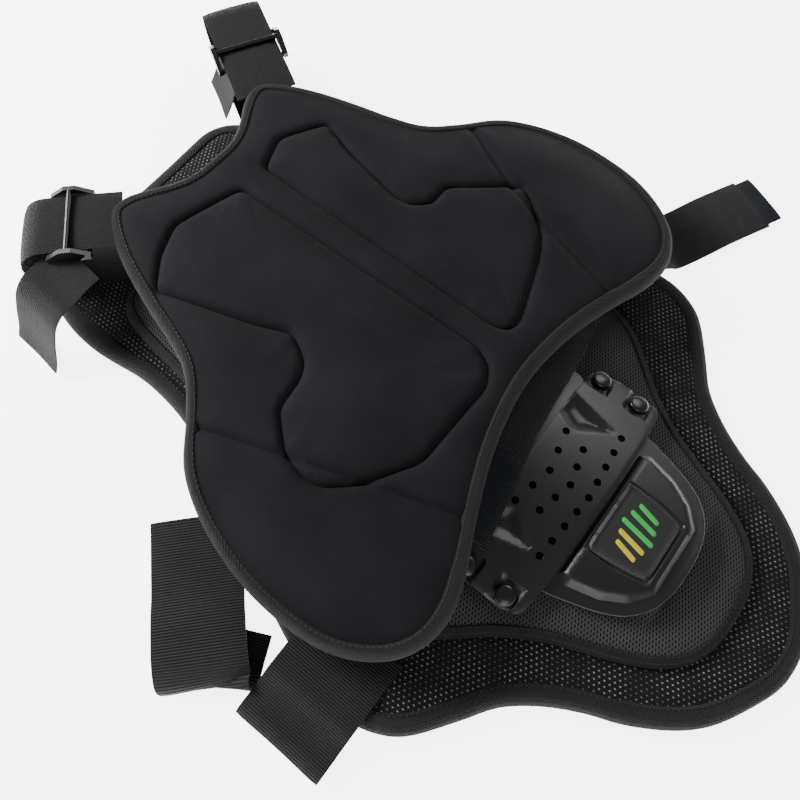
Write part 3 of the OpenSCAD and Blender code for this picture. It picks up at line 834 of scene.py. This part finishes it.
def make_overlay_tape():
    spots, out, width = edge_frame(overlay_outer, overlay_inner)
    sections = []
    for w in width:
        sections.append([
            (-w, 0.0056), (-w + 0.0005, 0.0068), (-w * 0.72, 0.0066), (-w * 0.4, 0.0054),
            (-w * 0.14, 0.0034), (-0.0001, 0.0016), (0.0, 0.0004), (-w * 0.3, 0.0001), (-w, 0.0001)])
    piece = edging("overlay_edge_tape", spots, out, OVERLAY_BASE, sections, OVERLAY_TAPE)
    follow(piece, "tape", ["overlay_tape", "tail_tape"], **TAIL_BEND)
    for name, share, height in (("inner", 0.82, 0.0069), ("outer", 0.34, 0.0051)):
        row = spots - out * (width * share)[:, None]
        seam = stitches(f"overlay_{name}_stitches", plan3(row, OVERLAY_BASE + height))
        follow(seam, "tape", [], **TAIL_BEND)


# -------- plates and rivets


def polygon_depth(points, corners):
    """How far plan points lie inside a convex polygon; below zero outside."""
    c = np.array(corners, float)
    if np.cross(c[1] - c[0], c[2] - c[1]) < 0:
        c = c[::-1]
    best = np.full(len(points), 1e9)
    for a, b in zip(c, np.roll(c, -1, axis=0)):
        e = (b - a) / np.linalg.norm(b - a)
        best = np.minimum(best, (points - a) @ np.array((-e[1], e[0])))
    return best


def circle(x, y, r):
    """Twenty points round a plan circle."""
    a = np.arange(20) * 2 * math.pi / 20
    return np.column_stack([x + r * np.cos(a), y + r * np.sin(a)])


def vent_row(y, half, count, bow):
    """Places of a row of vents whose ends are bow further up than its middle."""
    return [(x, y + bow * abs(x) / half) for x in np.linspace(-half, half, count)]


def bevel(piece):
    """Rounds a plate's sharp edges."""
    mod = piece.modifiers.new("edges", "BEVEL")
    mod.width = 0.00055
    mod.segments = 2
    mod.limit_method = "ANGLE"
    mod.angle_limit = math.radians(38)
    mod.harden_normals = False


VENT_R = 0.0024
PLATE_THICK = 0.003


def make_plate(name, node, body, centre, top, vents, features, lip=0.0):
    """A moulded plate over the CAD plate's outline.

    Each feature is (corners, height, slope): a plateau, or a pocket where height is below zero.
    """
    loop = spaced(outline(centre, [node]), 0.0022)[0]
    holes = [circle(x, y, VENT_R) for x, y in vents]
    lines = []
    for corners, height, slope in features:
        c = np.array(corners)
        middle = c.mean(0)
        back = abs(height) / slope
        inner = c + (middle - c) / np.linalg.norm(middle - c, axis=1)[:, None] * back * 1.3
        for ring in (c, inner):
            lines.append(spaced(shut(ring), 0.002, closed=False)[0])
    lines = [line[inside(line, loop)] for line in lines]
    flat, faces = fill(loop, 0.0019, [x for x in lines if len(x) > 1], holes)
    z = plate_arch(flat[:, 0], top)
    for corners, height, slope in features:
        rise = np.clip(polygon_depth(flat, corners) * slope, 0, abs(height))
        z = z + math.copysign(1, height) * rise
    rim = distance(flat, loop, True)
    z = z + lip * np.exp(-(rim / 0.0022) ** 2) - 0.0004 * np.exp(-rim / 0.0008)
    low = plate_arch(flat[:, 0], top - PLATE_THICK, PLATE_R - PLATE_THICK)
    low = np.minimum(low, z - 0.0012)
    piece = solid(name, flat, faces, z, low, [PLATE], crease=28)
    bevel(piece)
    follow(piece, "plate", [node], body=body)


# Across and along in millimetres, then the crown of the arch that the rivet sits on, in metres
RIVET_SPOTS = [(76, -98, PLATE_TOP), (76, -126, PLATE_TOP), (62, -75, LOW_TOP), (62, -26, LOW_TOP),
               (77, -2, PLATE_TOP), (76, 58, PLATE_TOP), (61, 83, LOW_TOP), (58, 130, LOW_TOP),
               (50, 155, PLATE_TOP), (44, 180, PLATE_TOP)]


def make_rivets():
    """Every snap rivet of the back panel as one lathed mesh. The profile is (radius, height)."""
    profile = [(0, 2.62), (2.2, 2.56), (3.8, 2.38), (4.2, 2.2), (4.5, 2.2), (4.9, 2.05), (5.9, 1.6),
               (6.4, 1.1), (6.5, 0.7), (6.4, 0.25), (2.5, 0.2), (2.5, -9.0), (0, -9.0)]
    turns = 28
    verts, faces = [], []
    for x, y, top in RIVET_SPOTS:
        for side in (1, -1):
            tilt = Matrix.Rotation(math.asin(side * x * MM / PLATE_R), 4, "Y")
            centre = Matrix.Translation((0, y * MM, top - PLATE_R))
            put = centre @ tilt @ Matrix.Translation((0, 0, PLATE_R))
            first = len(verts)
            for r, z in profile:
                r = max(r, 0.02)
                for k in range(turns):
                    a = k * 2 * math.pi / turns
                    spot = Vector((r * MM * math.cos(a), r * MM * math.sin(a), z * MM))
                    verts.append(tuple(put @ spot))
            for i in range(len(profile) - 1):
                for k in range(turns):
                    p, q = first + i * turns + k, first + i * turns + (k + 1) % turns
                    faces.append((p, p + turns, q + turns, q))
            for i, flip in ((0, 1), (len(profile) - 1, -1)):
                faces.append(tuple(first + i * turns + k for k in range(turns))[::flip])
    uvs = [[verts[i][:2] for i in f] for f in faces]
    piece = piece_from("body_snap_rivets", verts, faces, uvs, [RIVET], crease=35)
    follow(piece, "rivet", ["plate_rivets"], body="back")


def metres(corners):
    """Millimetre pairs as metres."""
    return [(x * MM, y * MM) for x, y in corners]


def mirrored(corners):
    """Corners in metres, on the right and again on the left."""
    return [metres(corners), metres([(-x, y) for x, y in corners[::-1]])]


def make_lumbar():
    """The lumbar plate: two sunk facets, four rivet pockets and three rows of vents."""
    features = []
    for c in mirrored([(31, -102), (47, -127), (57, -86), (38, -86)]):
        features.append((c, -0.0034, 0.45))
    for y in (-98, -126):
        for c in mirrored([(66, y - 9), (92, y - 9), (92, y + 9), (66, y + 9)]):
            features.append((c, -0.0016, 0.8))
    vents = []
    for y, half, count, bow in ((-133, 46, 9, 4), (-120, 24, 5, 6), (-105, 28, 5, 6)):
        vents += metres(vent_row(y, half, count, bow))
    make_plate("lumbar_armour_plate", "lumbar_plate", "back", (0, -0.115), PLATE_TOP, vents, features)


def make_tail():
    """The tail plate: a raised plateau with a shallow pocket for the badge."""
    plateau = [(-46, -143.6), (46, -143.6), (50, -150), (45, -170), (36.5, -185), (24, -195),
               (-24, -195), (-36.5, -185), (-45, -170), (-50, -150)]
    pocket = [(-26, -146.8), (26, -146.8), (26, -168), (22, -187.8), (-22, -187.8), (-26, -168)]
    features = [(metres(plateau), 0.0032, 0.75), (metres(pocket), -0.0012, 2.0)]
    make_plate("tail_armour_plate", "tail_plate", "tail", (0, -0.168), LOW_TOP, [], features,
               lip=0.0008)


def badge_face(flat):
    return plate_arch(flat[:, 0], LOW_TOP + 0.0030, 0.6)


def make_badge():
    """The soft badge, with five plain slanted bars in place of the mark."""
    loop = spaced(outline((0, -0.167), ["tail_badge"]), 0.0015)[0]
    flat, faces = fill(loop, 0.0016)
    rim = distance(flat, loop, True)
    face = badge_face(flat)
    top = face + 0.0007 * np.exp(-((rim - 0.0016) / 0.0010) ** 2) - 0.0008 * np.exp(-rim / 0.0006)
    piece = solid("tail_soft_badge", flat, faces, top, face - 0.0022, [BADGE], crease=30)
    follow(piece, "badge", ["tail_badge"], body="tail")
    bars = [("a", -13, 15, MARK_YELLOW), ("b", -6.5, 19, MARK_YELLOW), ("c", 0.5, 23, MARK_GREEN),
            ("d", 7.5, 19, MARK_GREEN), ("e", 14, 15, MARK_GREEN)]
    half_wide = 3.2 / 2
    lean = 2
    for letter, x, tall, paint in bars:
        y0, y1 = -167 - tall / 2, -167 + tall / 2
        c = np.array([(x - half_wide - lean, y0), (x + half_wide - lean, y0),
                      (x + half_wide + lean, y1), (x - half_wide + lean, y1)]) * MM
        edge = rounded(c, 0.0008, 3)
        flat, faces = fill(edge, 0.0009)
        rim = distance(flat, edge, True)
        face = badge_face(flat)
        top = face + 0.0005 - 0.0003 * np.exp(-rim / 0.0004)
        bar = solid(f"mark_bar_{letter}", flat, faces, top, face - 0.0004, [paint])
        follow(bar, "badge", [], body="tail")


# -------- straps


def strap_path(origin, turn, points, drift=None):
    """World points of a strap given as (along, height) in millimetres, with a sideways drift."""
    a = math.radians(turn)
    drift = drift or [0] * len(points)
    return [((origin[0] + s * math.cos(a) - d * math.sin(a)) * MM,
             (origin[1] + s * math.sin(a) + d * math.cos(a)) * MM, z * MM)
            for (s, z), d in zip(points, drift)]


def cross_way(turn):
    """Level direction square to a strap's heading, which is in degrees."""
    a = math.radians(turn - 90)
    return math.cos(a), math.sin(a), 0.0


def on_strap(origin, turn, s, z=0):
    """World point of a strap, s millimetres along it and z up."""
    return strap_path(origin, turn, [(s, z)])[0]


# Shoulder webbing in millimetres: upper run, lower run, the bend between them, and a place on
# the back half that is passed on but not used
WEB_TOP = 57.5
WEB_LOW = 16.8
LOOP_R = (WEB_TOP - WEB_LOW) / 2
BACK_BEND_AT = 24


def make_web(side, anchor, turn, reach, start, stiff):
    """A shoulder strap in two halves that meet at the loop.

    The front half starts at start, and stiff, which is passed on but not used, is a place along it. Both
    are in millimetres from the anchor.
    """
    end = reach - LOOP_R
    mid = (WEB_TOP + WEB_LOW) / 2
    arc = [(end + LOOP_R * math.cos(math.radians(a)), LOOP_R * math.sin(math.radians(a)))
           for a in range(75, -1, -15)]
    upper = [(start - 9, WEB_TOP - 0.6), (start, WEB_TOP - 0.2), (start + 12, WEB_TOP),
             (end - 8, WEB_TOP), (end, WEB_TOP)] + [(s, mid + z) for s, z in arc]
    lower = [(8, WEB_LOW), (20, WEB_LOW), (end - 12, WEB_LOW), (end, WEB_LOW)]
    lower += [(s, mid - z) for s, z in arc]
    for half, points, other, bend, bow in (("front", upper, "back", stiff, 0.0006),
                                           ("back", lower, "front", BACK_BEND_AT, -0.0006)):
        path = strap_path(anchor, turn, points)
        piece = ribbon(f"shoulder_web_{side}_{half}_half", path, cross_way(turn), 0.045, WEB_THICK,
                       WEBBING, bow)
        follow(piece, "webbing", [f"shoulder_web_{side}_{half}"], between=(half, other),
               start=on_strap(anchor, turn, bend), end=on_strap(anchor, turn, 2 * reach - bend))


def make_web_tail(side, origin, turn, points, width):
    """The free end of a shoulder strap, from its buckle to its cut edge."""
    path = strap_path(origin, turn, points)
    piece = ribbon(f"web_end_{side}", path, cross_way(turn), width, WEB_THICK, WEBBING, -0.0012)
    follow(piece, "webbing", [f"web_tail_{side}"], between=(f"{side}_adjuster", f"{side}_web_end"),
           start=on_strap(origin, turn, -3), end=on_strap(origin, turn, 7))


def make_shoulder_straps():
    make_web("left", (-28.5, 215.6), 135, 84, 20, 62)
    make_web("right", (103.5, 212.2), 60, 116, 19, 84)
    pts = [(-24, 54.5), (-14, 53.5), (0, 50), (8, 49), (18, 42), (26, 29), (33, 14), (39, 4)]
    make_web_tail("left", (-100, 226), 175, pts, 0.044)
    pts = [(0, 49), (9, 48), (19, 41), (26, 29), (33, 18)]
    make_web_tail("right", (132.5, 262), 150, pts, 0.042)


def make_right_strap():
    """The brushed closing strap and its hook tip, which droop from the back panel's edge."""
    root, turn = (150, -44), -25
    way = cross_way(turn)
    pts = [(0, 17.0), (22, 17.0), (48, 17.4), (60, 12), (68, 6), (78, 3.6), (95, 3.6), (118, 5.2),
           (140, 4.2), (156, 2.9)]
    path = strap_path(root, turn, pts)
    piece = ribbon("right_closing_strap", path, way, 0.046, STRAP_THICK, BRUSHED, 0.0008)
    follow(piece, "loop_fabric", ["right_belt", "right_tab"], between=("back", "right_strap_end"),
           start=on_strap(root, turn, 72, 4), end=on_strap(root, turn, 84, 4))
    path = strap_path(root, turn, [(152, 3.6), (158, 3.0), (169, 2.6)])
    piece = ribbon("right_strap_hook", path, way, 0.042, STRAP_THICK, HOOK, 0.0004)
    follow(piece, "hook", ["right_tab_hook"], body="right_strap_end")


def make_left_strap():
    """The ribbed closing strap and its hook patch, folded under at the left."""
    y = -0.072
    way = (0.0, -1.0, 0.0)
    pts = [(-143, 17), (-155, 17), (-176, 17), (-190, 16.6), (-199, 13), (-208, 10.8), (-216, 10.2),
           (-222, 7), (-219, 3.2), (-212, 2.2), (-205, 2.0)]
    path = [(x * MM, y, z * MM) for x, z in pts]
    piece = ribbon("left_closing_strap", path, way, 0.062, ELASTIC_THICK, ELASTIC, 0.0008)
    follow(piece, "elastic", ["left_belt", "left_tab"], between=("back", "left_strap_end"),
           start=(-0.193, y, 0.013), end=(-0.203, y, 0.013))
    path = [(x * MM, y, 5.4 * MM) for x in (-198, -205, -211)]
    piece = ribbon("left_strap_hook", path, way, 0.054, 0.0013, HOOK)
    follow(piece, "hook", ["left_tab_hook"], body="left_strap_end")


def make_left_loop():
    """The ribbed loop beside the front panel. Its lower leg drifts to one side under it."""
    root, turn = (-150, 58), 226
    pts = [(6, 17), (25, 17), (40, 17), (52, 17), (64, 18.6), (78, 19), (92, 18), (102, 13.5), (105, 8),
           (100, 3.4), (88, 2.2), (72, 2.0)]
    path = strap_path(root, turn, pts, [0, 0, 0, 0, 0, 0, 0, 0, 1, 4, 8, 14])
    piece = ribbon("left_loop_strap", path, cross_way(turn), 0.056, ELASTIC_THICK, ELASTIC, 0.0008)
    follow(piece, "elastic", ["left_loop_root", "left_loop_belt"], between=("back", "left_loop"),
           start=on_strap(root, turn, 46, 17), end=on_strap(root, turn, 57, 17))


def belt_sheet(name, node, centre, radius, top, thick, material, slot):
    """A thin strap that lies on an arch, over its CAD outline."""
    step = 0.0028
    heading = 0.16
    loop = spaced(outline(centre, [node]), step)[0]
    flat, faces = fill(loop, step)
    rim = distance(flat, loop, True)
    z = plate_arch(flat[:, 0], top, radius) - 0.0005 * np.exp(-rim / 0.0008)
    z = z + 0.0006 * np.sin(flat[:, 0] * 90) * np.clip(rim / 0.02, 0, 1)
    piece = solid(name, flat, faces, z, z - thick, [material])
    c, s = math.cos(heading), math.sin(heading)
    for corner in piece.data.uv_layers[0].data:
        u, v = corner.uv
        corner.uv = (u * c + v * s, v * c - u * s)
    follow(piece, slot, [node], body="front")


def make_front_belt():
    """The elastic belt folded in under the front panel's lower edge, and its hook patch."""
    belt_sheet("front_waist_belt", "front_belt", (0.025, -0.058), 0.420, 0.0456, STRAP_THICK,
               FRONT_ELASTIC, "elastic")
    belt_sheet("front_belt_hook_patch", "front_belt_hook", (-0.038, -0.075), 0.4209, 0.0468, 0.0011,
               HOOK, "hook")


# -------- carried-over CAD nodes


def dress_cad():
    """Gives the CAD nodes that aren't replaced their materials."""
    finish = {"neck_plate": PLATE, "upper_plate": PLATE, "middle_plate": PLATE, "lower_plate": PLATE,
              "chest_plate_left": PLATE, "chest_plate_right": PLATE, "chest_rivets": RIVET,
              "tri_glide_left": BUCKLE, "tri_glide_right": BUCKLE}
    for name, material in finish.items():
        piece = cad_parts[name]
        if piece.material_slots:
            for place in piece.material_slots:
                place.material = material
        else:
            piece.data.materials.append(material)


# -------- camera, floor and light


CAMERA_TURN = math.radians(-52)
CAMERA_RISE = math.radians(68)
CAMERA_AIM = Vector((-0.0145, -0.0005, 0.025))
CAMERA_AWAY = 0.462
FLOOR_HALF = 6.0
FLOOR_Z = -0.0002


def make_camera():
    data = bpy.data.cameras.new("camera")
    data.lens = 31.5
    data.sensor_width = 36
    camera = bpy.data.objects.new("camera", data)
    bpy.context.collection.objects.link(camera)
    a, e = CAMERA_TURN, CAMERA_RISE
    away = Vector((math.sin(a) * math.cos(e), -math.cos(a) * math.cos(e), math.sin(e)))
    camera.location = CAMERA_AIM + away * CAMERA_AWAY
    camera.rotation_euler = away.to_track_quat("Z", "Y").to_euler()
    bpy.context.scene.camera = camera


def make_stage():
    """A pale floor that glows, to come near the photo's white ground, a dim world and three lamps."""
    square = ((-1, -1), (1, -1), (1, 1), (-1, 1))
    corners = [(x * FLOOR_HALF, y * FLOOR_HALF, FLOOR_Z) for x, y in square]
    mesh = bpy.data.meshes.new("floor")
    mesh.from_pydata(corners, [], [(0, 1, 2, 3)])
    floor = bpy.data.objects.new("floor", mesh)
    bpy.context.collection.objects.link(floor)
    s = Surface("pale_floor", (0.9, 0.9, 0.9), 0.9, by_object=True)
    s.paint(s.noise(400, 2), (0.88, 0.88, 0.88), (0.93, 0.93, 0.93))
    s.shader.inputs["Emission Color"].default_value = (1, 1, 1, 1)
    s.shader.inputs["Emission Strength"].default_value = 5.0
    mesh.materials.append(s.mat)
    world = bpy.data.worlds.new("studio")
    world.use_nodes = True
    sky = world.node_tree.nodes["Background"]
    sky.inputs["Color"].default_value = (1, 1, 1, 1)
    sky.inputs["Strength"].default_value = 0.35
    bpy.context.scene.world = world
    for name, place, size, power in (
        ("key", (-0.25, 1.0, 0.65), 0.5, 30),
        ("fill", (0.9, 0.1, 0.9), 0.6, 5),
        ("rim", (-0.9, -0.6, 0.6), 0.6, 5),
    ):
        data = bpy.data.lights.new(name, "AREA")
        data.size = size
        data.energy = power
        lamp = bpy.data.objects.new(name, data)
        lamp.location = place
        lamp.rotation_euler = Vector(place).to_track_quat("Z", "Y").to_euler()
        bpy.context.collection.objects.link(lamp)


make_front()
make_front_binding()
make_back()
make_back_binding()
make_overlay()
make_overlay_tape()
make_lumbar()
make_tail()
make_badge()
make_rivets()
make_shoulder_straps()
make_right_strap()
make_left_strap()
make_left_loop()
make_front_belt()
dress_cad()
make_camera()
make_stage()
